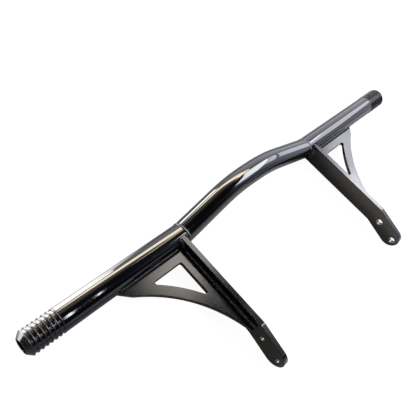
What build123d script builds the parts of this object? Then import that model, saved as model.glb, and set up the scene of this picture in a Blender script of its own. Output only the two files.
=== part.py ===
from build123d import *
from math import acos, asin, atan2, cos, degrees, hypot, radians, sin, sqrt, tan
import os

# Highway crash bar for the front of a motorcycle frame.
# Millimetres, +Z up.  The bar lies flat on a floor at Z = 0, on the rounded ends of its two feet and
# on the corners of its legs beside the tube.  X runs along the bar, which is the same left and right
# of X = 0, and the legs point towards -Y.  Y = 0 is halfway between the bow and the tips of the feet.

# --- bar ---
tube_od = 31.75
tube_wall = 3.05
bar_half_length = 333.5
bow_start_x = 139.7
bow_slope = 13.2
bow_lean = 63.5
bow_bend_x = 38.0
bow_bend_radius = 260.0

# --- legs: flat bar, one on each side ---
leg_x = 150.0
leg_thickness = 7.5
leg_width = 33.3
leg_top = 7.0
plate_drop = 2.0
dogleg_reach = 153.8
dogleg_angle = 16.0
dogleg_round = 12.0
foot_length = 59.5
bolt_hole_d = 10.5
bolt_hole_first = 15.2
bolt_hole_spacing = 34.5
edge_round = 0.6

# --- gussets: flat plate between each arm and its leg ---
gusset_thickness = 6.35
gusset_along_bar = 107.6
gusset_nose = 13.1
gusset_down_leg = 154.0
gusset_tip_width = 5.4
gusset_edge_radius = 195.0
gusset_strip = 14.3
gusset_post = 16.2
gusset_rail = 14.6
window_corner_radius = 2.6
gusset_corner_clip = 6.5

# --- ribbed end pegs ---
peg_crest_r = 16.3
rib_pitch = 5.7
rib_count = 7
rib_width = 2.8
rib_height = 1.4
peg_nose_length = 6.2
peg_face_r = 10.4
peg_bore_r = 8.7
peg_floor = 16.0
peg_lip = 0.5
spigot_length = 5.0
spigot_clearance = 0.15

# --- retaining bolts, washers and the plugs they screw into ---
bolt_d = 10.0
bolt_clearance = 0.25
bolt_length = 40.0
bolt_head_d = 16.0
bolt_head_height = 10.0
bolt_head_chamfer = 0.8
hex_key = 8.0
hex_depth = 5.0
washer_thickness = 1.6
washer_clearance = 0.2
plug_length = 19.0

# --- welds ---
leg_weld = 3.6
gusset_weld = 3.2
weld_bulge = 0.25
ring_weld_width = 4.6
ring_weld_height = 1.0

# --- derived sizes ---
tube_r = tube_od / 2
tube_ir = tube_r - tube_wall
leg_face_x = leg_x + leg_thickness / 2
peg_length = rib_width / 2 + rib_count * rib_pitch + peg_nose_length
foot_reach = foot_length - leg_width / 2
foot_out = dogleg_reach + foot_reach * cos(radians(dogleg_angle))
foot_down = plate_drop + foot_reach * sin(radians(dogleg_angle))

# how the bar lies: its feet rest on the floor, and so do its legs' top corners or its pegs
corner_out = foot_out - leg_top
corner_down = leg_width / 2 + plate_drop - foot_down
tilt_on_corners = asin(leg_width / 2 / hypot(corner_out, corner_down)) - atan2(corner_down, corner_out)
peg_drop = (leg_width / 2 - peg_crest_r) / hypot(foot_out, foot_down)
tilt_on_pegs = asin(peg_drop) + atan2(foot_down, foot_out)
tilt = min(tilt_on_corners, tilt_on_pegs)
axis_height = leg_width / 2 - foot_out * sin(tilt) + foot_down * cos(tilt)

# how far it reaches in front of the bar's axis and behind it, and so where the axis is
bow_turn = radians(bow_lean) - tilt
bow_height = (bow_start_x - bow_bend_x) * tan(radians(bow_slope))
front_reach = bow_height * cos(bow_turn) + tube_r
back_reach = foot_out * cos(tilt) + foot_down * sin(tilt) + leg_width / 2
bar_y = (back_reach - front_reach) / 2

# --- planes and axes ---
# plate: through the bar's axis, its own Y pointing away from the legs
plate = Plane(origin=(0, bar_y, axis_height), x_dir=(1, 0, 0), z_dir=(0, sin(tilt), cos(tilt)))
# bow: the plane that the middle of the bar is bent in
bow = Plane(origin=plate.origin, x_dir=(1, 0, 0), z_dir=(0, -sin(bow_turn), cos(bow_turn)))
# upright: through the bar's axis, its own Y pointing up
upright = Plane(origin=plate.origin, x_dir=(1, 0, 0), z_dir=(0, -1, 0))
bar_axis = Axis(plate.origin, (1, 0, 0))


def across_bar(x):
    """Square to the bar at x: own X down the leg, own Y up off the plates, extrudes towards -X."""
    return Plane(origin=(x, bar_y, axis_height), x_dir=-plate.y_dir, z_dir=(-1, 0, 0))


def across_leg(distance):
    """Square to the leg, that far below the bar's axis: own X along the bar, extrudes down the leg."""
    origin = plate.from_local_coords((0, -distance, 0))
    return Plane(origin=origin, x_dir=(1, 0, 0), z_dir=-plate.y_dir)


def mitre(side):
    """Halves the corner between one arm and the bowed middle, and faces the arm."""
    half = radians(bow_slope / 2)
    corner = bow.from_local_coords((side * bow_start_x, 0, 0))
    return Plane(origin=corner, x_dir=bow.z_dir, z_dir=bow.x_dir * side * cos(half) - bow.y_dir * sin(half))


def on_tube(height):
    """How far down the leg the tube's surface is, at a height off the bar's axis."""
    return sqrt(tube_r**2 - height**2)


def save(part, name):
    part.label = name
    export_step(part, f"parts/{name}.step")


def save_pair(part, name):
    """Exports the right-hand piece, and its mirror image for the left."""
    save(part, name + "_right")
    save(mirror(part, about=Plane.YZ), name + "_left")


os.makedirs("parts", exist_ok=True)

# ---------------------------------------------------------------- bar
overrun = tube_r
overrun_fall = overrun * tan(radians(bow_slope))

with BuildPart() as bar_middle:
    with BuildLine(bow) as bow_path:
        FilletPolyline(
            (-bow_start_x - overrun, -overrun_fall),
            (-bow_bend_x, bow_height),
            (bow_bend_x, bow_height),
            (bow_start_x + overrun, -overrun_fall),
            radius=bow_bend_radius,
        )
    with BuildSketch(bow_path.line ^ 0):
        Circle(tube_r)
        Circle(tube_ir, mode=Mode.SUBTRACT)
    sweep()
    split(bisect_by=mitre(1), keep=Keep.BOTTOM)
    split(bisect_by=mitre(-1), keep=Keep.BOTTOM)
save(bar_middle.part, "bar_middle")

with BuildPart() as bar_arm:
    with BuildSketch(across_bar(bar_half_length)):
        Circle(tube_r)
        Circle(tube_ir, mode=Mode.SUBTRACT)
    extrude(amount=bar_half_length - bow_start_x + overrun)
    split(bisect_by=mitre(1), keep=Keep.TOP)
save_pair(bar_arm.part, "bar_arm")

# the bead round the corner joint, kept to the outside of both tubes
ring_face = mitre(1)
with BuildPart() as ring_weld:
    with BuildSketch(Plane(origin=ring_face.origin, x_dir=ring_face.z_dir, z_dir=ring_face.x_dir)):
        with BuildLine():
            foot_r = tube_r - tube_wall / 3
            shoulder = (ring_weld_width / 2, foot_r)
            far_shoulder = (-ring_weld_width / 2, foot_r)
            Line(far_shoulder, shoulder)
            ThreePointArc(shoulder, (0, tube_r + ring_weld_height), far_shoulder)
        make_face()
    revolve(axis=Axis(ring_face.origin, ring_face.z_dir))
    add(bar_middle.part, mode=Mode.SUBTRACT)
    add(bar_arm.part, mode=Mode.SUBTRACT)
save_pair(ring_weld.part, "bar_ring_weld")

# ---------------------------------------------------------------- legs
foot_cos = cos(radians(dogleg_angle))
foot_sin = sin(radians(dogleg_angle))
dogleg_corner = leg_width / 2 * tan(radians(dogleg_angle / 2))


def on_foot(along, across):
    """A point of the leg's outline, measured from the dogleg along and across the foot."""
    out = dogleg_reach + along * foot_cos + across * foot_sin
    return (out, -plate_drop - along * foot_sin + across * foot_cos)


with BuildPart() as leg:
    with BuildSketch(across_bar(leg_face_x)):
        with BuildLine():
            upper = FilletPolyline(
                (leg_top, leg_width / 2 - plate_drop),
                (dogleg_reach + dogleg_corner, leg_width / 2 - plate_drop),
                on_foot(foot_reach, leg_width / 2),
                radius=dogleg_round,
            )
            end = ThreePointArc(upper @ 1, on_foot(foot_length, 0), on_foot(foot_reach, -leg_width / 2))
            lower = FilletPolyline(
                end @ 1,
                (dogleg_reach - dogleg_corner, -leg_width / 2 - plate_drop),
                (leg_top, -leg_width / 2 - plate_drop),
                radius=dogleg_round,
            )
            Line(lower @ 1, upper @ 0)
        make_face()
    extrude(amount=leg_thickness)
    fillet(leg.faces().filter_by(Axis.X).edges(), edge_round)
    with BuildSketch(across_bar(leg_face_x)):
        Circle(tube_r)
        for step in range(2):
            with Locations(on_foot(bolt_hole_first + step * bolt_hole_spacing, 0)):
                Circle(bolt_hole_d / 2)
    extrude(amount=leg_thickness, mode=Mode.SUBTRACT)
save_pair(leg.part, "leg")

# ---------------------------------------------------------------- gussets
gusset_mid = plate.offset(-plate_drop)
gusset_end_x = leg_face_x + gusset_along_bar
nose = (gusset_end_x - gusset_nose, -tube_r - gusset_nose)
tip = (leg_face_x + gusset_tip_width, -gusset_down_leg)
# centre of the curved free edge, out beyond the plate
chord = hypot(nose[0] - tip[0], nose[1] - tip[1])
stand_off = sqrt(gusset_edge_radius**2 - (chord / 2) ** 2) / chord
curve_x = (nose[0] + tip[0]) / 2 + (nose[1] - tip[1]) * stand_off
curve_y = (nose[1] + tip[1]) / 2 - (nose[0] - tip[0]) * stand_off
# the window is bounded by the rail, the post and a curve that keeps the strip's width
window_r = gusset_edge_radius + gusset_strip
window_x = leg_face_x + gusset_post
window_y = -tube_r - gusset_rail
window_far_x = curve_x - sqrt(window_r**2 - (window_y - curve_y) ** 2)
window_low_y = curve_y + sqrt(window_r**2 - (window_x - curve_x) ** 2)


def is_free(edge):
    """True for an edge of the gusset that is welded to nothing."""
    middle = edge.center()
    return middle.X > leg_face_x + 1 and hypot(middle.Y - bar_y, middle.Z - axis_height) > tube_r + 1


with BuildPart() as gusset:
    with BuildSketch(gusset_mid):
        with BuildLine():
            Polyline(
                (leg_face_x, -gusset_down_leg),
                (leg_face_x, -tube_r - gusset_corner_clip),
                (leg_face_x + gusset_corner_clip, -tube_r),
                (leg_face_x + gusset_corner_clip, -tube_r / 2),
                (gusset_end_x, -tube_r / 2),
                (gusset_end_x, -tube_r),
                nose,
            )
            RadiusArc(nose, tip, -gusset_edge_radius)
            Line(tip, (leg_face_x, -gusset_down_leg))
        make_face()
    extrude(amount=gusset_thickness / 2, both=True)
    with BuildSketch(gusset_mid) as window:
        with BuildLine():
            Polyline((window_x, window_low_y), (window_x, window_y), (window_far_x, window_y))
            RadiusArc((window_far_x, window_y), (window_x, window_low_y), -window_r)
        make_face()
        fillet(window.vertices(), window_corner_radius)
    extrude(amount=gusset_thickness, both=True, mode=Mode.SUBTRACT)
    with BuildSketch(across_bar(gusset_end_x + 1)):
        Circle(tube_r)
    extrude(amount=gusset_along_bar + 2, mode=Mode.SUBTRACT)
    faces = gusset.faces().filter_by(lambda face: abs(face.normal_at().dot(plate.z_dir)) > 0.99)
    fillet(faces.edges().filter_by(is_free), edge_round)
save_pair(gusset.part, "gusset")

# ---------------------------------------------------------------- welds
def bead_crown(root, toe, other_toe):
    """Draws a weld's section from its root to one toe and over its rounded top to the other toe."""
    chord_middle = (Vector(*toe) + Vector(*other_toe)) / 2
    Line(root, toe)
    ThreePointArc(toe, chord_middle + (chord_middle - Vector(*root)) * weld_bulge, other_toe)


# round the bar on both faces of each leg, from the leg's top edge to its bottom edge
weld_outer_r = tube_r + leg_weld
weld_up = degrees(asin((leg_width / 2 - plate_drop) / weld_outer_r))
weld_down = degrees(acos(leg_top / tube_r))
weld_start = plate.rotated((-weld_up, 0, 0))

with BuildPart() as leg_weld_outer:
    with BuildSketch(weld_start):
        with BuildLine():
            root = (leg_face_x, -tube_r)
            bar_toe = (leg_face_x + leg_weld, -tube_r)
            bead_crown(root, (leg_face_x, -weld_outer_r), bar_toe)
            Line(bar_toe, root)
        make_face()
    revolve(axis=bar_axis, revolution_arc=weld_up + weld_down)
save_pair(leg_weld_outer.part, "leg_weld_outer")

with BuildPart() as leg_weld_inner:
    with BuildSketch(weld_start):
        with BuildLine():
            root = (leg_face_x - leg_thickness, -tube_r)
            bar_toe = (root[0] - leg_weld, -tube_r)
            bead_crown(root, (root[0], -weld_outer_r), bar_toe)
            Line(bar_toe, root)
        make_face()
    revolve(axis=bar_axis, revolution_arc=weld_up + weld_down)
    add(ring_weld.part, mode=Mode.SUBTRACT)
save_pair(leg_weld_inner.part, "leg_weld_inner")

# along the gusset's two faces, against the bar and against the leg
gusset_top = gusset_thickness / 2 - plate_drop
gusset_bottom = -gusset_thickness / 2 - plate_drop
gusset_faces = {"top": (gusset_top, gusset_weld), "bottom": (gusset_bottom, -gusset_weld)}
bead_start_x = leg_face_x + gusset_corner_clip

for name, (height, rise) in gusset_faces.items():
    with BuildPart() as bar_bead:
        with BuildSketch(across_bar(gusset_end_x - gusset_weld)):
            with BuildLine():
                root = (on_tube(height), height)
                bar_toe = (on_tube(height + rise), height + rise)
                bead_crown(root, (tube_r + gusset_weld, height), bar_toe)
                ThreePointArc(bar_toe, (on_tube(height + rise / 2), height + rise / 2), root)
            make_face()
        extrude(amount=gusset_end_x - gusset_weld - bead_start_x)
    save_pair(bar_bead.part, "gusset_bar_weld_" + name)

for name, (height, rise) in gusset_faces.items():
    with BuildPart() as leg_bead:
        with BuildSketch(across_leg(tube_r + gusset_corner_clip)):
            with BuildLine():
                root = (leg_face_x, height)
                leg_toe = (leg_face_x, height + rise)
                bead_crown(root, (leg_face_x + gusset_weld, height), leg_toe)
                Line(leg_toe, root)
            make_face()
        extrude(amount=gusset_down_leg - tube_r - gusset_corner_clip)
    save_pair(leg_bead.part, "gusset_leg_weld_" + name)

# ---------------------------------------------------------------- end pegs
peg_groove_r = peg_crest_r - rib_height
bolt_hole_r = bolt_d / 2 + bolt_clearance
peg_end_x = bar_half_length + peg_length
peg_floor_x = bar_half_length + peg_floor

with BuildPart() as peg:
    with BuildSketch(upright):
        with BuildLine():
            # inside: from the face down the bore and out along the bolt hole
            Polyline(
                (peg_end_x, peg_face_r),
                (peg_end_x, peg_bore_r + peg_lip),
                (peg_end_x - peg_lip, peg_bore_r),
                (peg_floor_x, peg_bore_r),
                (peg_floor_x, bolt_hole_r),
                (bar_half_length - spigot_length, bolt_hole_r),
                (bar_half_length - spigot_length, tube_ir - spigot_clearance),
                (bar_half_length, tube_ir - spigot_clearance),
                (bar_half_length, peg_groove_r),
            )
            # outside: each rib, and the groove after it
            for rib in range(rib_count):
                rib_x = bar_half_length + rib * rib_pitch
                rib_end = (rib_x + rib_width, peg_groove_r)
                ThreePointArc((rib_x, peg_groove_r), (rib_x + rib_width / 2, peg_crest_r), rib_end)
                Line(rib_end, (rib_x + rib_pitch, peg_groove_r))
            # the nose: half a rib, then the cone
            nose_x = bar_half_length + rib_count * rib_pitch
            nose_top = (nose_x + rib_width / 2, peg_crest_r)
            RadiusArc((nose_x, peg_groove_r), nose_top, rib_width / 2)
            Line(nose_top, (peg_end_x, peg_face_r))
        make_face()
    revolve(axis=bar_axis)
save_pair(peg.part, "peg")

# ---------------------------------------------------------------- what holds the pegs
with BuildPart() as tube_plug:
    with BuildSketch(across_bar(bar_half_length - spigot_length)):
        Circle(tube_ir)
        Circle(bolt_d / 2, mode=Mode.SUBTRACT)
    extrude(amount=plug_length)
save_pair(tube_plug.part, "tube_plug")

head_x = peg_floor_x + washer_thickness

with BuildPart() as peg_washers:
    with BuildSketch(across_bar(head_x)):
        Circle(peg_bore_r - washer_clearance)
        Circle(bolt_hole_r, mode=Mode.SUBTRACT)
    extrude(amount=washer_thickness)
    mirror(about=Plane.YZ)
save(peg_washers.part, "peg_washers")

with BuildPart() as peg_bolts:
    with BuildSketch(upright):
        Polygon(
            (head_x - bolt_length, 0),
            (head_x - bolt_length, bolt_d / 2 - bolt_head_chamfer),
            (head_x - bolt_length + bolt_head_chamfer, bolt_d / 2),
            (head_x, bolt_d / 2),
            (head_x, bolt_head_d / 2),
            (head_x + bolt_head_height - bolt_head_chamfer, bolt_head_d / 2),
            (head_x + bolt_head_height, bolt_head_d / 2 - bolt_head_chamfer),
            (head_x + bolt_head_height, 0),
            align=None,
        )
    revolve(axis=bar_axis)
    with BuildSketch(across_bar(head_x + bolt_head_height)):
        RegularPolygon(hex_key / 2, 6, major_radius=False)
    extrude(amount=hex_depth, mode=Mode.SUBTRACT)
    mirror(about=Plane.YZ)
save(peg_bolts.part, "peg_bolts")
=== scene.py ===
"""Gloss black highway bar for a motorcycle: finishes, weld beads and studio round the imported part."""

import math
import random

import bmesh
import bpy
from mathutils import Matrix, Vector


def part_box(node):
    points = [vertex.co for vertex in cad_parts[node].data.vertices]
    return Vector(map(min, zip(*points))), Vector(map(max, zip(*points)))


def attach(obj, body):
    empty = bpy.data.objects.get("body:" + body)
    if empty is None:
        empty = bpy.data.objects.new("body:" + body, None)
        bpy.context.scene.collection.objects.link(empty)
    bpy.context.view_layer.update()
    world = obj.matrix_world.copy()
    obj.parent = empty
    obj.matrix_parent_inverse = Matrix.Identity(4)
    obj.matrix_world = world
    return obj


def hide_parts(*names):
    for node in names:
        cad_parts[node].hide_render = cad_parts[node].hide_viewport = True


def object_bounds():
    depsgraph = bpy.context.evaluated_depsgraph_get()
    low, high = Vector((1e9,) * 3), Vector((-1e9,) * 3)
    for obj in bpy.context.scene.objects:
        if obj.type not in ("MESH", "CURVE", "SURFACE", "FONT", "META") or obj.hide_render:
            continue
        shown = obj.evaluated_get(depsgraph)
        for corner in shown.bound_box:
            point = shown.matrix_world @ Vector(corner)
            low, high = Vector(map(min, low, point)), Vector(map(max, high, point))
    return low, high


bl_info = {
    "name": "Highway Bar",
    "version": (1, 0, 0),
    "blender": (4, 5, 0),
    "location": "3D View > Sidebar > Highway Bar",
    "description": "Finishes, weld beads and studio for a bolt-on highway bar",
    "category": "Object",
}

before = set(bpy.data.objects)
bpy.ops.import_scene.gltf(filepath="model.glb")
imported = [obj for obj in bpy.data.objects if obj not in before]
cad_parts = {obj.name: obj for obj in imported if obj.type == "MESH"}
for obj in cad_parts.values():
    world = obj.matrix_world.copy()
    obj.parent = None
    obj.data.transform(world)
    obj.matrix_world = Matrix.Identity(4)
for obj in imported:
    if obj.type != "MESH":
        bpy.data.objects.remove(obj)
CAD_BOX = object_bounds()

MM = 0.001
SIDES = ("left", "right")

# How deep a bead's root lies in the metal, and how little its toes lie under the surfaces they meet.
ROOT_DEPTH = 0.3 * MM
TOE_DEPTH = 0.03 * MM
RING_ROOT_DEPTH = 0.5 * MM
RING_TOE_DEPTH = 0.05 * MM
LEG_CROWN = 0.35 * MM
GUSSET_CROWN = 0.25 * MM
BEAD_CAP = 1.4 * MM

ROWS_PER_RIPPLE = 7
COLUMNS = 11
CRESCENT = 0.55

COAT_IOR = 1.5
SPECK_SPACING = 9.5 * MM
SPECK_HEIGHT = 0.03 * MM
LATHE_RINGS = 0.35 * MM

CAMERA_PLACE = (-0.482897, -0.016639, 0.596824)
CAMERA_TURN = (30.44700, -19.98079, -43.69682)
CAMERA_SHIFT = 0.5 / 416
LAMP_ONE_AIM = (-0.321, 0.087, 0.033)
LAMP_TWO_AIM = (-0.283, 0.087, 0.033)

TUBE_NODES = ("bar_middle", "bar_arm_left", "bar_arm_right")
GUSSET_NODES = ("gusset_left", "gusset_right")
LEG_NODES = ("leg_left", "leg_right")
PEG_NODES = ("peg_left", "peg_right")
PLUG_NODES = ("tube_plug_left", "tube_plug_right")
SCREW_NODES = ("peg_bolts", "peg_washers")


# ---------------------------------------------------------------- what the frame says


def bar_axis():
    """Height and depth of the bar's straight axis, and the tube's radius."""
    low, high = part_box("bar_arm_right")
    return (low.y + high.y) / 2, (low.z + high.z) / 2, (high.y - low.y) / 2


def plate_normal():
    """The upward normal that both gussets share."""
    total = Vector()
    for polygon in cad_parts["gusset_right"].data.polygons:
        if polygon.normal.z > 0.9:
            total += polygon.normal * polygon.area
    return total.normalized()


def reach(node, direction, origin):
    """How far a node runs along a direction, both ways from a point."""
    spots = [(v.co - origin).dot(direction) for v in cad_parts[node].data.vertices]
    return min(spots), max(spots)


AXIS_Y, AXIS_Z, TUBE_R = bar_axis()
UP = plate_normal()
OUT = Vector((1, 0, 0))
BACK = UP.cross(OUT).normalized()
AXIS = Vector((0, AXIS_Y, AXIS_Z))


def mitre():
    """Place of the kink along the bar, its slope, and the way that the bow leans."""
    arm_low, arm_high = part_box("bar_arm_right")
    bow_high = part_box("bar_middle")[1]
    place = (arm_low.x + bow_high.x) / 2
    slope = (bow_high.x - arm_low.x) / 2 / TUBE_R
    lean = math.atan2(bow_high.z - arm_high.z, bow_high.y - arm_high.y)
    return place, slope, lean


# ---------------------------------------------------------------- settings


class CoatSettings(bpy.types.PropertyGroup):
    """The gloss black coat on tube, legs, gussets and welds."""

    colour: bpy.props.FloatVectorProperty(
        name="Coat colour",
        description="Colour of the powder coat",
        subtype="COLOR",
        size=3,
        min=0,
        max=1,
        default=(0.0009, 0.0009, 0.0014),
    )
    dust: bpy.props.FloatVectorProperty(
        name="Dust colour",
        description="Colour of the dust that lies in the coat's texture",
        subtype="COLOR",
        size=3,
        min=0,
        max=1,
        default=(0.0040, 0.0038, 0.0040),
    )
    tube_roughness: bpy.props.FloatProperty(
        name="Roughness on tube",
        description="How blurred the reflections on the tube are",
        subtype="FACTOR",
        min=0,
        max=1,
        default=0.05,
    )
    plate_roughness: bpy.props.FloatProperty(
        name="Roughness on plates",
        description="How blurred the reflections on legs and gussets are",
        subtype="FACTOR",
        min=0,
        max=1,
        default=0.13,
    )
    peel_size: bpy.props.FloatProperty(
        name="Orange peel size",
        description="Distance between the waves of the coat",
        subtype="DISTANCE",
        unit="LENGTH",
        min=0.0001,
        default=0.0022,
    )
    peel_depth: bpy.props.FloatProperty(
        name="Orange peel depth",
        description="Height of the waves of the coat",
        subtype="DISTANCE",
        unit="LENGTH",
        min=0,
        default=0.0000009,
    )


class WeldSettings(bpy.types.PropertyGroup):
    """The ripples of the weld beads."""

    pitch: bpy.props.FloatProperty(
        name="Ripple pitch",
        description="Distance from one ripple of a bead to the next",
        subtype="DISTANCE",
        unit="LENGTH",
        min=0.0005,
        default=0.0019,
    )
    height: bpy.props.FloatProperty(
        name="Ripple height",
        description="Height of one ripple over the bead",
        subtype="DISTANCE",
        unit="LENGTH",
        min=0,
        default=0.00038,
    )
    fillet: bpy.props.FloatProperty(
        name="Fillet leg",
        description="Leg length of the fillets on the gussets",
        subtype="DISTANCE",
        unit="LENGTH",
        min=0.001,
        default=0.0031,
    )
    leg_fillet: bpy.props.FloatProperty(
        name="Leg fillet",
        description="Leg length of the fillets between legs and tube",
        subtype="DISTANCE",
        unit="LENGTH",
        min=0.001,
        default=0.0035,
    )
    ring_width: bpy.props.FloatProperty(
        name="Ring width",
        description="Width of the ring welds at the kinks",
        subtype="DISTANCE",
        unit="LENGTH",
        min=0.001,
        default=0.0046,
    )
    ring_height: bpy.props.FloatProperty(
        name="Ring height",
        description="Height of the ring welds over the tube",
        subtype="DISTANCE",
        unit="LENGTH",
        min=0,
        default=0.0006,
    )


class PegSettings(bpy.types.PropertyGroup):
    """The turned plastic pegs."""

    colour: bpy.props.FloatVectorProperty(
        name="Peg colour",
        description="Colour of the pegs",
        subtype="COLOR",
        size=3,
        min=0,
        max=1,
        default=(0.0016, 0.0016, 0.0018),
    )
    roughness: bpy.props.FloatProperty(
        name="Peg roughness",
        description="How dull the pegs are",
        subtype="FACTOR",
        min=0,
        max=1,
        default=0.13,
    )


class SteelSettings(bpy.types.PropertyGroup):
    """Screws, washers and the plugs in the tube."""

    screw_colour: bpy.props.FloatVectorProperty(
        name="Screw colour",
        description="Colour of the black oxide on screws and washers",
        subtype="COLOR",
        size=3,
        min=0,
        max=1,
        default=(0.035, 0.035, 0.038),
    )
    plug_colour: bpy.props.FloatVectorProperty(
        name="Bare steel colour",
        description="Colour of bare turned steel",
        subtype="COLOR",
        size=3,
        min=0,
        max=1,
        default=(0.45, 0.45, 0.46),
    )


class StudioSettings(bpy.types.PropertyGroup):
    """Floor, lights and camera."""

    floor_colour: bpy.props.FloatVectorProperty(
        name="Floor colour",
        description="Colour of the floor",
        subtype="COLOR",
        size=3,
        min=0,
        max=1,
        default=(0.34, 0.34, 0.34),
    )
    floor_size: bpy.props.FloatProperty(
        name="Floor size",
        description="Length of the floor's sides",
        subtype="DISTANCE",
        unit="LENGTH",
        min=1,
        default=16,
    )
    light_distance: bpy.props.FloatProperty(
        name="Light distance",
        description="Distance from the bar to the lights",
        subtype="DISTANCE",
        unit="LENGTH",
        min=0.5,
        default=4,
    )
    lens: bpy.props.FloatProperty(
        name="Lens",
        description="Focal length of the camera in millimetres",
        min=10,
        default=44.312,
    )


# ---------------------------------------------------------------- node helpers


def put(tree, kind, **values):
    """Adds a node. Values set its own settings, and those named like a socket set the socket."""
    made = tree.nodes.new(kind)
    for key, value in values.items():
        if hasattr(made, key):
            setattr(made, key, value)
        else:
            made.inputs[key.replace("_", " ")].default_value = value
    return made


def noise(tree, place, wavelength, detail=3.0, roughness=0.55):
    """A noise whose waves are this long, in metres."""
    made = put(tree, "ShaderNodeTexNoise")
    made.inputs["Scale"].default_value = 1 / wavelength
    made.inputs["Detail"].default_value = detail
    made.inputs["Roughness"].default_value = roughness
    tree.links.new(place, made.inputs["Vector"])
    return made.outputs["Fac"]


def spread(tree, value, low, high, out_low, out_high, smooth=False):
    """Maps a value's range onto another, and holds it there."""
    made = put(tree, "ShaderNodeMapRange")
    made.clamp = True
    if smooth:
        made.interpolation_type = "SMOOTHSTEP"
    for name, number in (("From Min", low), ("From Max", high), ("To Min", out_low), ("To Max", out_high)):
        made.inputs[name].default_value = number
    tree.links.new(value, made.inputs["Value"])
    return made.outputs["Result"]


def sums(tree, operation, first, second, third=None):
    """One sum of sockets or plain numbers."""
    made = put(tree, "ShaderNodeMath", operation=operation)
    for slot, value in enumerate((first, second, third)):
        if value is None:
            continue
        if isinstance(value, (int, float)):
            made.inputs[slot].default_value = value
        else:
            tree.links.new(value, made.inputs[slot])
    return made.outputs["Value"]


def blend_colour(tree, share, first, second):
    """Mixes two colours, each a socket or three numbers."""
    made = put(tree, "ShaderNodeMix", data_type="RGBA")
    for name, value in (("A", first), ("B", second)):
        socket = next(i for i in made.inputs if i.name == name and i.type == "RGBA")
        if isinstance(value, bpy.types.NodeSocket):
            tree.links.new(value, socket)
        else:
            socket.default_value = (*value, 1)
    tree.links.new(share, made.inputs["Factor"])
    return next(o for o in made.outputs if o.type == "RGBA")


def bump(tree, height, depth, before=None):
    """A bump whose height socket runs from 0 to 1 over this depth, in metres."""
    made = put(tree, "ShaderNodeBump")
    made.inputs["Strength"].default_value = 1.0
    made.inputs["Distance"].default_value = depth
    tree.links.new(height, made.inputs["Height"])
    if before is not None:
        tree.links.new(before, made.inputs["Normal"])
    return made.outputs["Normal"]


def new_material(name):
    """An empty material with its shader, and the place on the part as a socket."""
    material = bpy.data.materials.new(name)
    material.use_nodes = True
    tree = material.node_tree
    tree.nodes.clear()
    shader = put(tree, "ShaderNodeBsdfPrincipled")
    output = put(tree, "ShaderNodeOutputMaterial")
    tree.links.new(shader.outputs["BSDF"], output.inputs["Surface"])
    place = put(tree, "ShaderNodeTexCoord").outputs["Object"]
    return material, tree, shader, place


def wear(node, material):
    """Gives a CAD node its finish."""
    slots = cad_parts[node].material_slots
    if not slots:
        raise RuntimeError(f"{node} has no material slot to finish")
    for slot in slots:
        slot.material = material


# ---------------------------------------------------------------- finishes


def coat(name, settings, roughness):
    """Gloss black powder coat with orange peel, specks and a trace of dust."""
    material, tree, shader, place = new_material(name)
    peel = noise(tree, place, settings.peel_size, detail=2.0)
    drift = noise(tree, place, 0.045, detail=4.0)
    fine = noise(tree, place, 0.0007, detail=2.0)
    specks = put(tree, "ShaderNodeTexVoronoi")
    specks.inputs["Scale"].default_value = 1 / SPECK_SPACING
    tree.links.new(place, specks.inputs["Vector"])
    speck = spread(tree, specks.outputs["Distance"], 0.02, 0.045, 1, 0)
    drifted = spread(tree, drift, 0.42, 0.72, 0, 1)
    dusty = sums(tree, "MULTIPLY", drifted, spread(tree, fine, 0.45, 0.75, 0.2, 1))
    colour = blend_colour(tree, dusty, tuple(settings.colour), tuple(settings.dust))
    shade = sums(tree, "ADD", spread(tree, drift, 0.3, 0.7, -0.25, 0.35), 1)
    rough = sums(tree, "MULTIPLY", shade, roughness)
    rough = sums(tree, "ADD", rough, spread(tree, fine, 0.35, 0.75, 0, 0.03))
    tree.links.new(colour, shader.inputs["Base Color"])
    tree.links.new(rough, shader.inputs["Roughness"])
    normal = bump(tree, peel, settings.peel_depth)
    normal = bump(tree, fine, 0.0000006, normal)
    normal = bump(tree, speck, SPECK_HEIGHT, normal)
    tree.links.new(normal, shader.inputs["Normal"])
    shader.inputs["IOR"].default_value = COAT_IOR
    return material


def weld_coat(settings):
    """The same coat where it has run into the ripples of a bead."""
    material, tree, shader, place = new_material("coat_on_weld")
    grain = noise(tree, place, 0.0011, detail=3.0)
    drift = noise(tree, place, 0.012, detail=3.0)
    dusty = spread(tree, drift, 0.4, 0.75, 0, 1)
    colour = blend_colour(tree, dusty, tuple(settings.colour), tuple(settings.dust))
    tree.links.new(colour, shader.inputs["Base Color"])
    tree.links.new(spread(tree, grain, 0.3, 0.75, 0.10, 0.24), shader.inputs["Roughness"])
    tree.links.new(bump(tree, grain, 0.00003), shader.inputs["Normal"])
    shader.inputs["IOR"].default_value = COAT_IOR
    return material


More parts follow.
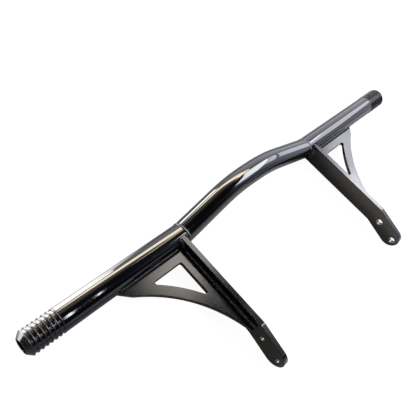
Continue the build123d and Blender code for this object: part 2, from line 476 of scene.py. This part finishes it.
def peg_plastic(settings):
    """Turned black nylon: fine lathe rings, grain and dull patches."""
    material, tree, shader, place = new_material("turned_nylon")
    split = put(tree, "ShaderNodeSeparateXYZ")
    tree.links.new(place, split.inputs["Vector"])
    grain = noise(tree, place, 0.0009, detail=4.0)
    patch = noise(tree, place, 0.010, detail=3.0)
    rings = sums(tree, "SINE", sums(tree, "MULTIPLY", split.outputs["X"], 2 * math.pi / LATHE_RINGS), 0)
    rings = spread(tree, rings, -1, 1, 0, 1)
    patchy = spread(tree, patch, 0.45, 0.72, 0, 1)
    scuffed = sums(tree, "MULTIPLY", patchy, spread(tree, grain, 0.4, 0.7, 0, 1))
    colour = blend_colour(tree, scuffed, tuple(settings.colour), (0.007, 0.0060, 0.0056))
    tree.links.new(colour, shader.inputs["Base Color"])
    rough = sums(tree, "ADD", spread(tree, patch, 0.3, 0.7, -0.06, 0.10), settings.roughness)
    tree.links.new(rough, shader.inputs["Roughness"])
    normal = bump(tree, rings, 0.000006)
    normal = bump(tree, grain, 0.00002, normal)
    tree.links.new(normal, shader.inputs["Normal"])
    shader.inputs["IOR"].default_value = COAT_IOR
    return material


def turned_steel(name, colour, roughness, ring_pitch):
    """Metal with the rings that a lathe or a socket key leaves."""
    material, tree, shader, place = new_material(name)
    grain = noise(tree, place, 0.0013, detail=5.0)
    stain = noise(tree, place, 0.006, detail=3.0)
    split = put(tree, "ShaderNodeSeparateXYZ")
    tree.links.new(place, split.inputs["Vector"])
    rings = sums(tree, "SINE", sums(tree, "MULTIPLY", split.outputs["X"], 2 * math.pi / ring_pitch), 0)
    darker = tuple(c * 0.6 for c in colour)
    tint = blend_colour(tree, spread(tree, stain, 0.35, 0.7, 0, 1), tuple(colour), darker)
    tree.links.new(tint, shader.inputs["Base Color"])
    rough = spread(tree, grain, 0.3, 0.7, roughness - 0.06, roughness + 0.10)
    tree.links.new(rough, shader.inputs["Roughness"])
    normal = bump(tree, spread(tree, rings, -1, 1, 0, 1), 0.000008)
    normal = bump(tree, grain, 0.000012, normal)
    tree.links.new(normal, shader.inputs["Normal"])
    shader.inputs["Metallic"].default_value = 1.0
    return material


# ---------------------------------------------------------------- weld beads


def bead_mesh(name, length, section, closed, settings, seed, crown):
    """A stacked bead along a path. section(s) gives root, first toe and second toe at s metres."""
    dice = random.Random(seed)
    ripples = max(3, round(length / settings.pitch))
    pitch = length / ripples
    heights = [settings.height * dice.uniform(0.75, 1.2) for _ in range(ripples)]
    drifts = [pitch * dice.uniform(-0.12, 0.12) for _ in range(ripples)]
    drifts[0] = 0.0
    mesh = bmesh.new()
    rows = []
    total_rows = ripples * ROWS_PER_RIPPLE + (0 if closed else 1)
    for row in range(total_rows):
        ripple = min(row // ROWS_PER_RIPPLE, ripples - 1)
        phase = row / ROWS_PER_RIPPLE - ripple
        following = (ripple + 1) % ripples if closed else min(ripple + 1, ripples - 1)
        base = (ripple + phase) * pitch
        base += drifts[ripple] * (1 - phase) + drifts[following] * phase
        lump = math.sqrt(max(0.0, 1 - (2 * phase - 1) ** 2))
        line = []
        for column in range(COLUMNS):
            across = column / (COLUMNS - 1)
            arch = 4 * across * (1 - across)
            s = base + (arch - 0.5) * CRESCENT * pitch
            if closed:
                s %= length
                swell = 1.0
            else:
                s = min(max(s, 0.0), length)
                edge = min(s, length - s) / BEAD_CAP
                swell = math.sqrt(max(0.0, 1 - (1 - min(1.0, edge)) ** 2))
            root, toe_a, toe_b = section(s)
            chord = toe_a.lerp(toe_b, across)
            outward = (toe_a + toe_b) / 2 - root
            outward.normalize()
            rise = arch * (crown + heights[ripple] * (lump - 0.55)) * (0.35 + 0.65 * swell)
            point = root.lerp(chord + outward * rise, 0.25 + 0.75 * swell)
            line.append(mesh.verts.new(point))
        root, _, _ = section(min(max(base, 0.0), length) if not closed else base % length)
        line.append(mesh.verts.new(root))
        rows.append(line)
    count = len(rows)
    width = COLUMNS + 1
    for row in range(count if closed else count - 1):
        here, there = rows[row], rows[(row + 1) % count]
        for column in range(width):
            step = (column + 1) % width
            mesh.faces.new((here[column], here[step], there[step], there[column]))
    if not closed:
        mesh.faces.new(list(reversed(rows[0])))
        mesh.faces.new(rows[-1])
    bmesh.ops.remove_doubles(mesh, verts=mesh.verts, dist=1e-6)
    bmesh.ops.recalc_face_normals(mesh, faces=mesh.faces)
    data = bpy.data.meshes.new(name)
    mesh.to_mesh(data)
    mesh.free()
    data.polygons.foreach_set("use_smooth", [True] * len(data.polygons))
    return data


def add_bead(name, node, data, material):
    """Puts a bead on the part in place of its plain weld."""
    data.materials.append(material)
    piece = bpy.data.objects.new(name, data)
    bpy.context.scene.collection.objects.link(piece)
    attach(piece, "root")
    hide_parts(node)
    return piece


def round_axis(angle, radius, x):
    """A point at an angle round the bar's axis, measured from +Y towards +Z."""
    return Vector((x, AXIS_Y + radius * math.cos(angle), AXIS_Z + radius * math.sin(angle)))


# ---------------------------------------------------------------- operators


class BAR_OT_coat(bpy.types.Operator):
    """Coat the tube, the legs and the gussets"""

    bl_idname = "highway_bar.coat"
    bl_label = "Coat Tube and Plates"

    def execute(self, context):
        settings = context.scene.bar_coat
        tube = coat("coat_on_tube", settings, settings.tube_roughness)
        plate = coat("coat_on_plate", settings, settings.plate_roughness)
        leg = coat("coat_on_leg", settings, settings.plate_roughness)
        for node in TUBE_NODES:
            wear(node, tube)
        for node in GUSSET_NODES:
            wear(node, plate)
        for node in LEG_NODES:
            wear(node, leg)
        return {"FINISHED"}


class BAR_OT_ring_welds(bpy.types.Operator):
    """Weld the two arms to the bowed middle"""

    bl_idname = "highway_bar.ring_welds"
    bl_label = "Ring Welds at the Kinks"

    def execute(self, context):
        settings = context.scene.bar_weld
        material = weld_coat(context.scene.bar_coat)
        place, slope, lean = mitre()
        length = 2 * math.pi * TUBE_R
        half = settings.ring_width / 2
        for number, side in enumerate(SIDES):
            sign = 1 if side == "right" else -1

            def section(s, sign=sign):
                angle = s / TUBE_R
                x = sign * (place + slope * TUBE_R * math.cos(angle - lean))
                root = round_axis(angle, TUBE_R - RING_ROOT_DEPTH, x)
                return (
                    root,
                    round_axis(angle, TUBE_R - RING_TOE_DEPTH, x - half),
                    round_axis(angle, TUBE_R - RING_TOE_DEPTH, x + half),
                )

            name = "ring_weld_" + side
            data = bead_mesh(name, length, section, True, settings, 11 + number, settings.ring_height)
            add_bead(name, "bar_" + name, data, material)
        return {"FINISHED"}


class BAR_OT_leg_welds(bpy.types.Operator):
    """Weld the legs to the tube, on both faces of each leg"""

    bl_idname = "highway_bar.leg_welds"
    bl_label = "Leg Welds"

    def execute(self, context):
        settings = context.scene.bar_weld
        material = weld_coat(context.scene.bar_coat)
        leg = settings.leg_fillet
        toward = math.atan2(-BACK.z, -BACK.y)
        low, high = reach("leg_right", -BACK, AXIS)
        opening = math.acos(min(1.0, max(-1.0, low / TUBE_R)))
        length = 2 * opening * TUBE_R
        for number, side in enumerate(SIDES):
            box_low, box_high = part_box("leg_" + side)
            outer = box_high.x if side == "right" else box_low.x
            inner = box_low.x if side == "right" else box_high.x
            outward = 1 if side == "right" else -1
            for layer, face, way in (("outer", outer, outward), ("inner", inner, -outward)):

                def section(s, face=face, way=way):
                    angle = toward - opening + s / TUBE_R
                    return (
                        round_axis(angle, TUBE_R - ROOT_DEPTH, face - way * ROOT_DEPTH),
                        round_axis(angle, TUBE_R - TOE_DEPTH, face + way * leg),
                        round_axis(angle, TUBE_R + leg, face - way * TOE_DEPTH),
                    )

                name = f"leg_weld_{layer}_{side}_bead"
                data = bead_mesh(name, length, section, False, settings, 23 + number, LEG_CROWN)
                add_bead(name, f"leg_weld_{layer}_{side}", data, material)
        return {"FINISHED"}


class BAR_OT_gusset_welds(bpy.types.Operator):
    """Weld the gussets to the tube and to the legs, on both faces"""

    bl_idname = "highway_bar.gusset_welds"
    bl_label = "Gusset Welds"

    def execute(self, context):
        settings = context.scene.bar_weld
        material = weld_coat(context.scene.bar_coat)
        leg = settings.fillet
        floor_side, top_side = reach("gusset_right", UP, AXIS)
        for number, side in enumerate(SIDES):
            sign = 1 if side == "right" else -1
            leg_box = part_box("leg_" + side)
            face = leg_box[1].x if side == "right" else leg_box[0].x
            for layer, height, way in (("top", top_side, 1), ("bottom", floor_side, -1)):
                node = f"gusset_leg_weld_{layer}_{side}"
                start, end = reach(node, -BACK, AXIS)

                def along_leg(s, start=start, face=face, height=height, way=way, sign=sign):
                    corner = AXIS - BACK * (start + s) + UP * height
                    corner.x = face
                    return (
                        corner - OUT * sign * ROOT_DEPTH - UP * way * ROOT_DEPTH,
                        corner + OUT * sign * leg - UP * way * TOE_DEPTH,
                        corner + UP * way * leg - OUT * sign * TOE_DEPTH,
                    )

                name = node + "_bead"
                data = bead_mesh(name, end - start, along_leg, False, settings, 41 + number, GUSSET_CROWN)
                add_bead(name, node, data, material)

                node = f"gusset_bar_weld_{layer}_{side}"
                box_low, box_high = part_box(node)
                first = box_low.x
                width = box_high.x - box_low.x
                rim = math.sqrt(TUBE_R**2 - height**2)
                root_angle = math.atan2(height, rim)

                def along_bar(s, first=first, height=height, way=way, rim=rim, root_angle=root_angle):
                    turn = root_angle + way * leg / TUBE_R
                    base = AXIS + OUT * (first + s)
                    toe = -BACK * math.cos(turn) + UP * math.sin(turn)
                    return (
                        base - BACK * (rim - ROOT_DEPTH) + UP * (height - way * ROOT_DEPTH),
                        base - BACK * (rim + leg) + UP * (height - way * TOE_DEPTH),
                        base + toe * (TUBE_R - TOE_DEPTH),
                    )

                name = node + "_bead"
                data = bead_mesh(name, width, along_bar, False, settings, 61 + number, GUSSET_CROWN)
                add_bead(name, node, data, material)
        return {"FINISHED"}


class BAR_OT_pegs(bpy.types.Operator):
    """Finish the two ribbed pegs"""

    bl_idname = "highway_bar.pegs"
    bl_label = "Pegs"

    def execute(self, context):
        material = peg_plastic(context.scene.bar_peg)
        for node in PEG_NODES:
            wear(node, material)
        return {"FINISHED"}


class BAR_OT_steel(bpy.types.Operator):
    """Finish the screws, the washers and the plugs in the tube"""

    bl_idname = "highway_bar.steel"
    bl_label = "Screws and Plugs"

    def execute(self, context):
        settings = context.scene.bar_steel
        screw = turned_steel("black_oxide", tuple(settings.screw_colour), 0.34, 0.0005)
        plug = turned_steel("turned_plug_steel", tuple(settings.plug_colour), 0.30, 0.0004)
        for node in SCREW_NODES:
            wear(node, screw)
        for node in PLUG_NODES:
            wear(node, plug)
        return {"FINISHED"}


# ---------------------------------------------------------------- studio


def towards(azimuth, elevation):
    """A direction, with azimuth 0 along +X and 90 along +Y, in degrees."""
    a, e = math.radians(azimuth), math.radians(elevation)
    return Vector((math.cos(a) * math.cos(e), math.sin(a) * math.cos(e), math.sin(e)))


def panel_light(
    name, azimuth, elevation, width, height, strength, colour, distance, aim=(0, 0, 0), roll=0, around=False
):
    """A flat soft light seen from its aim. Width, height and roll are degrees, strength its brightness."""
    data = bpy.data.lights.new(name, "AREA")
    data.shape = "RECTANGLE"
    data.size = 2 * distance * math.tan(math.radians(width / 2))
    data.size_y = 2 * distance * math.tan(math.radians(height / 2))
    data.energy = strength * math.pi * data.size * data.size_y
    data.color = colour
    piece = bpy.data.objects.new(name, data)
    way = towards(azimuth, elevation)
    piece.location = Vector(aim) + way * distance
    if around:
        along = way.cross(OUT).normalized()
        turned = Matrix((along, way.cross(along), way)).transposed()
    else:
        turned = way.to_track_quat("Z", "Y").to_matrix() @ Matrix.Rotation(math.radians(roll), 3, "Z")
    piece.rotation_euler = turned.to_euler()
    piece.visible_camera = False
    bpy.context.scene.collection.objects.link(piece)
    return piece


def floor_material(settings):
    """Pale matt board. To the camera it is evenly white, as a board lit from below is. In reflections it
    carries painted light: a painted shadow left of the left leg, and a painted glowing patch behind the
    bar's left end.
    """
    material, tree, shader, place = new_material("pale_board")
    grain = noise(tree, place, 0.02, detail=4.0)
    split = put(tree, "ShaderNodeSeparateXYZ")
    tree.links.new(place, split.inputs["Vector"])
    across = split.outputs["Y"]
    front = spread(tree, across, -0.04, 0.12, 1, 0, smooth=True)
    # The first of these tints is a painted shadow. On the front side, left of the left leg, the floor is
    # darker where the leg's shade would fall, and this shows only in reflections.
    painted_shadow_tone, cool, warm = (
        [tint * part for tint, part in zip(hue, settings.floor_colour)]
        for hue in ((0.55, 0.50, 0.46), (0.78, 0.84, 1.0), (1.9, 1.8, 1.68))
    )
    painted_shadow_fade = spread(tree, split.outputs["X"], -0.22, -0.08, 0, 1, smooth=True)
    hue = blend_colour(tree, front, cool, blend_colour(tree, painted_shadow_fade, painted_shadow_tone, warm))
    tone = blend_colour(tree, spread(tree, grain, 0.3, 0.7, 0, 0.06), hue, (0, 0, 0))
    tree.links.new(tone, shader.inputs["Base Color"])
    shader.inputs["Roughness"].default_value = 0.7
    shader.inputs["Specular IOR Level"].default_value = 0.1
    # Painted light: a patch of the floor behind the bar's left end glows although it is no lamp. The camera
    # does not see it, but reflections do, so it lays a white reflected band along the left arm's upper
    # edge.
    slant = sums(tree, "MULTIPLY_ADD", across, -0.3, split.outputs["X"])
    painted_glow_left = spread(tree, slant, -0.33, -0.20, 1, 0, smooth=True)
    painted_glow_behind = spread(tree, across, 0.112, 0.20, 0, 1, smooth=True)
    patch = sums(tree, "MULTIPLY", sums(tree, "MULTIPLY", painted_glow_left, painted_glow_behind), 13.0)
    tree.links.new(patch, shader.inputs["Emission Strength"])
    shader.inputs["Emission Color"].default_value = (1, 1, 1, 1)
    white = put(tree, "ShaderNodeEmission")
    white.inputs["Strength"].default_value = 0.93
    thin = put(tree, "ShaderNodeBsdfDiffuse")
    thin.inputs["Color"].default_value = (0.1, 0.1, 0.1, 1)
    board = put(tree, "ShaderNodeAddShader")
    tree.links.new(white.outputs["Emission"], board.inputs[0])
    tree.links.new(thin.outputs["BSDF"], board.inputs[1])
    path = put(tree, "ShaderNodeLightPath")
    mix = put(tree, "ShaderNodeMixShader")
    tree.links.new(path.outputs["Is Camera Ray"], mix.inputs["Fac"])
    tree.links.new(shader.outputs["BSDF"], mix.inputs[1])
    tree.links.new(board.outputs["Shader"], mix.inputs[2])
    output = next(n for n in tree.nodes if n.type == "OUTPUT_MATERIAL")
    tree.links.new(mix.outputs["Shader"], output.inputs["Surface"])
    return material


def surroundings():
    """A white room: pale all round for the camera, dim above and behind for the gloss."""
    world = bpy.data.worlds.new("studio_room")
    world.use_nodes = True
    tree = world.node_tree
    tree.nodes.clear()
    path = put(tree, "ShaderNodeLightPath")
    way = put(tree, "ShaderNodeTexCoord").outputs["Generated"]
    split = put(tree, "ShaderNodeSeparateXYZ")
    tree.links.new(way, split.inputs["Vector"])
    along, across, height = split.outputs["X"], split.outputs["Y"], split.outputs["Z"]
    low = spread(tree, height, 0.50, 0.82, 1, 0.06, smooth=True)
    front = spread(tree, across, -0.78, -0.48, 0.0, 1, smooth=True)
    ahead = spread(tree, along, 0.25, 0.62, 0.10, 1, smooth=True)
    room = sums(tree, "MULTIPLY", low, front)
    room = sums(tree, "MULTIPLY", room, sums(tree, "MULTIPLY", ahead, 2.0))
    ledge = sums(
        tree,
        "MULTIPLY",
        spread(tree, height, 0.24, 0.32, 1, 0, smooth=True),
        spread(tree, across, -0.80, -0.60, 1.0, 0, smooth=True),
    )
    glow = sums(
        tree,
        "MULTIPLY",
        spread(tree, height, 0.80, 0.96, 1, 0, smooth=True),
        spread(tree, across, 0.10, 0.45, 0, 1.2, smooth=True),
    )
    glow = sums(tree, "MULTIPLY", glow, spread(tree, along, -0.1, 0.3, 0, 1, smooth=True))
    room = sums(tree, "ADD", room, ledge)
    tinted = put(tree, "ShaderNodeBackground")
    tinted.inputs["Color"].default_value = (0.74, 0.78, 1.0, 1)
    tree.links.new(room, tinted.inputs["Strength"])
    warmed = put(tree, "ShaderNodeBackground")
    warmed.inputs["Color"].default_value = (1.0, 0.88, 0.80, 1)
    tree.links.new(glow, warmed.inputs["Strength"])
    both = put(tree, "ShaderNodeAddShader")
    tree.links.new(tinted.outputs["Background"], both.inputs[0])
    tree.links.new(warmed.outputs["Background"], both.inputs[1])
    plain = put(tree, "ShaderNodeBackground")
    plain.inputs["Color"].default_value = (1, 1, 1, 1)
    plain.inputs["Strength"].default_value = 0.7
    mix = put(tree, "ShaderNodeMixShader")
    tree.links.new(path.outputs["Is Glossy Ray"], mix.inputs["Fac"])
    tree.links.new(plain.outputs["Background"], mix.inputs[1])
    tree.links.new(both.outputs["Shader"], mix.inputs[2])
    backdrop = put(tree, "ShaderNodeBackground")
    backdrop.inputs["Strength"].default_value = 1.05
    backdrop.inputs["Color"].default_value = (1, 1, 1, 1)
    seen = put(tree, "ShaderNodeMixShader")
    tree.links.new(path.outputs["Is Camera Ray"], seen.inputs["Fac"])
    tree.links.new(mix.outputs["Shader"], seen.inputs[1])
    tree.links.new(backdrop.outputs["Background"], seen.inputs[2])
    output = put(tree, "ShaderNodeOutputWorld")
    tree.links.new(seen.outputs["Shader"], output.inputs["Surface"])
    return world


WHITE = (1.0, 1.0, 1.0)
COOL = (0.80, 0.92, 1.0)
CREAM = (1.0, 0.86, 0.60)
PALE_CREAM = (1.0, 0.95, 0.88)
WARM_WHITE = (1.0, 0.96, 0.86)
LAVENDER = (0.95, 0.94, 1.0)
SOFT_BLUE = (0.92, 0.96, 1.0)


class BAR_OT_stage(bpy.types.Operator):
    """Lay the floor, hang the lights and set up the camera"""

    bl_idname = "highway_bar.stage"
    bl_label = "Floor, Lights and Camera"

    def execute(self, context):
        settings = context.scene.bar_studio
        half = settings.floor_size / 2
        mesh = bmesh.new()
        bmesh.ops.create_grid(mesh, x_segments=8, y_segments=8, size=half)
        data = bpy.data.meshes.new("floor")
        mesh.to_mesh(data)
        mesh.free()
        data.materials.append(floor_material(settings))
        floor = bpy.data.objects.new("floor", data)
        floor.location.z = CAD_BOX[0].z - 0.2 * MM
        context.scene.collection.objects.link(floor)

        far = settings.light_distance
        near = far / 4
        panel_light("key_softbox", -12, 49, 32, 16, 18, SOFT_BLUE, far)
        panel_light("key_skirt", -4, 36.2, 30, 8.5, 7.5, LAVENDER, far)
        panel_light("low_skirt", -3, 25, 24, 9, 5.5, LAVENDER, far)
        panel_light("cool_edge", -38.5, 44, 4, 14, 6, COOL, far)
        panel_light("warm_strip", 58, 40, 44, 11, 18, CREAM, far, roll=-35)
        panel_light("upper_warm", 29, 60, 7.5, 9, 7, PALE_CREAM, far)
        panel_light("low_window", 87, 8.5, 30, 16, 18, WHITE, far)
        panel_light("back_lamp", 180, 35, 6, 6, 25, WARM_WHITE, far)
        panel_light("lamp_one", -57.5, 60.5, 20, 1.2, 30, WHITE, near, LAMP_ONE_AIM, around=True)
        panel_light("lamp_two", -51.0, 58.5, 16, 0.7, 30, WHITE, near, LAMP_TWO_AIM, around=True)

        lens = bpy.data.cameras.new("camera")
        lens.lens = settings.lens
        lens.sensor_width = 36
        lens.shift_x = -CAMERA_SHIFT
        lens.shift_y = CAMERA_SHIFT
        lens.clip_start = 0.01
        lens.clip_end = 100
        camera = bpy.data.objects.new("camera", lens)
        camera.location = CAMERA_PLACE
        camera.rotation_euler = [math.radians(turn) for turn in CAMERA_TURN]
        context.scene.collection.objects.link(camera)
        context.scene.camera = camera
        context.scene.world = surroundings()
        context.scene.view_settings.view_transform = "Standard"
        return {"FINISHED"}


class BAR_PT_panel(bpy.types.Panel):
    """The bar's pieces and settings in the sidebar"""

    bl_label = "Highway Bar"
    bl_space_type = "VIEW_3D"
    bl_region_type = "UI"
    bl_category = "Highway Bar"

    def draw(self, context):
        layout = self.layout
        for operator in OPERATORS:
            layout.operator(operator.bl_idname)
        for group in GROUPS:
            settings = getattr(context.scene, group)
            box = layout.box()
            for name in settings.bl_rna.properties.keys():
                if name not in ("rna_type", "name"):
                    box.prop(settings, name)


OPERATORS = (
    BAR_OT_coat,
    BAR_OT_ring_welds,
    BAR_OT_leg_welds,
    BAR_OT_gusset_welds,
    BAR_OT_pegs,
    BAR_OT_steel,
    BAR_OT_stage,
)
GROUPS = {
    "bar_coat": CoatSettings,
    "bar_weld": WeldSettings,
    "bar_peg": PegSettings,
    "bar_steel": SteelSettings,
    "bar_studio": StudioSettings,
}


def register():
    for group in GROUPS.values():
        bpy.utils.register_class(group)
    for name, group in GROUPS.items():
        setattr(bpy.types.Scene, name, bpy.props.PointerProperty(type=group))
    for operator in OPERATORS:
        bpy.utils.register_class(operator)
    bpy.utils.register_class(BAR_PT_panel)


def unregister():
    bpy.utils.unregister_class(BAR_PT_panel)
    for operator in reversed(OPERATORS):
        bpy.utils.unregister_class(operator)
    for name in GROUPS:
        delattr(bpy.types.Scene, name)
    for group in reversed(list(GROUPS.values())):
        bpy.utils.unregister_class(group)


def main():
    register()
    bpy.ops.highway_bar.coat()
    bpy.ops.highway_bar.ring_welds()
    bpy.ops.highway_bar.leg_welds()
    bpy.ops.highway_bar.gusset_welds()
    bpy.ops.highway_bar.pegs()
    bpy.ops.highway_bar.steel()
    bpy.ops.highway_bar.stage()


if __name__ == "__main__":
    main()
